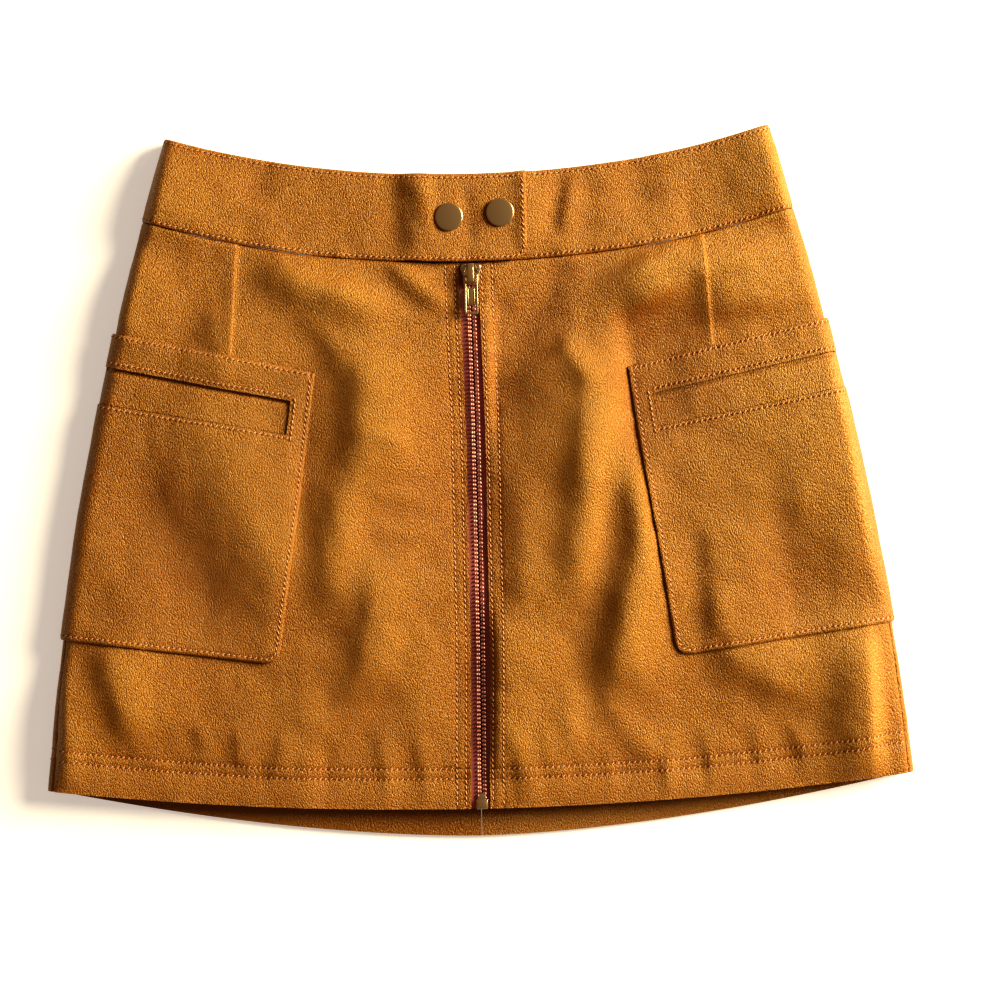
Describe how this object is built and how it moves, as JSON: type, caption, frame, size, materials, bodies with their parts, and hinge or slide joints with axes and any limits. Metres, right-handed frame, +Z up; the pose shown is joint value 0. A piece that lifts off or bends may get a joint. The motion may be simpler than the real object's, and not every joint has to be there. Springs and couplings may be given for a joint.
{
  "type": "leather mini skirt",
  "caption": "A-line mini skirt laid flat: front zip, snapped waistband tab, wrap-round patch pockets with slit openings, open at waist and hem.",
  "frame": {"origin": "bottom centre of the laid skirt's bounding box, on the table", "axes": "+X to the right across the front, +Y to the waist, +Z up off the table"},
  "size_m": [0.5214, 0.4239, 0.023],
  "materials": {
    "leather": "tan pebble-grain leather, satin",
    "leather_band": "tan pebble-grain leather, satin, pressed flat",
    "leather_pocket": "tan pebble-grain leather, satin",
    "zip_tape": "woven burgundy tape",
    "zip_chain": "burgundy coil teeth with a copper gloss",
    "antique_brass": "satin antique brass"
  },
  "bodies": {
    "garment": {"front_left": "leather", "front_right": "leather", "back_left": "leather", "back_right": "leather", "waistband_front_left": "leather_band", "waistband_front_right": "leather_band", "waistband_back": "leather_band", "pocket_left": "leather_pocket", "pocket_right": "leather_pocket", "pocket_strip_left": "leather_pocket", "pocket_strip_right": "leather_pocket", "zip_tape_left": "zip_tape", "zip_tape_right": "zip_tape", "zip_chain": "zip_chain", "zip_slider": "antique_brass", "zip_retainer": "antique_brass", "snap_cap_1": "antique_brass", "snap_cap_2": "antique_brass"},
    "pull": {"zip_pull": "antique_brass"}
  },
  "joints": [
    {"name": "pull_hinge", "type": "hinge", "parent": "garment", "child": "pull", "pos_m": [0.0009, 0.1234, 0.0166], "axis": [-1, 0, 0], "range_deg": [0, 155]}
  ]
}
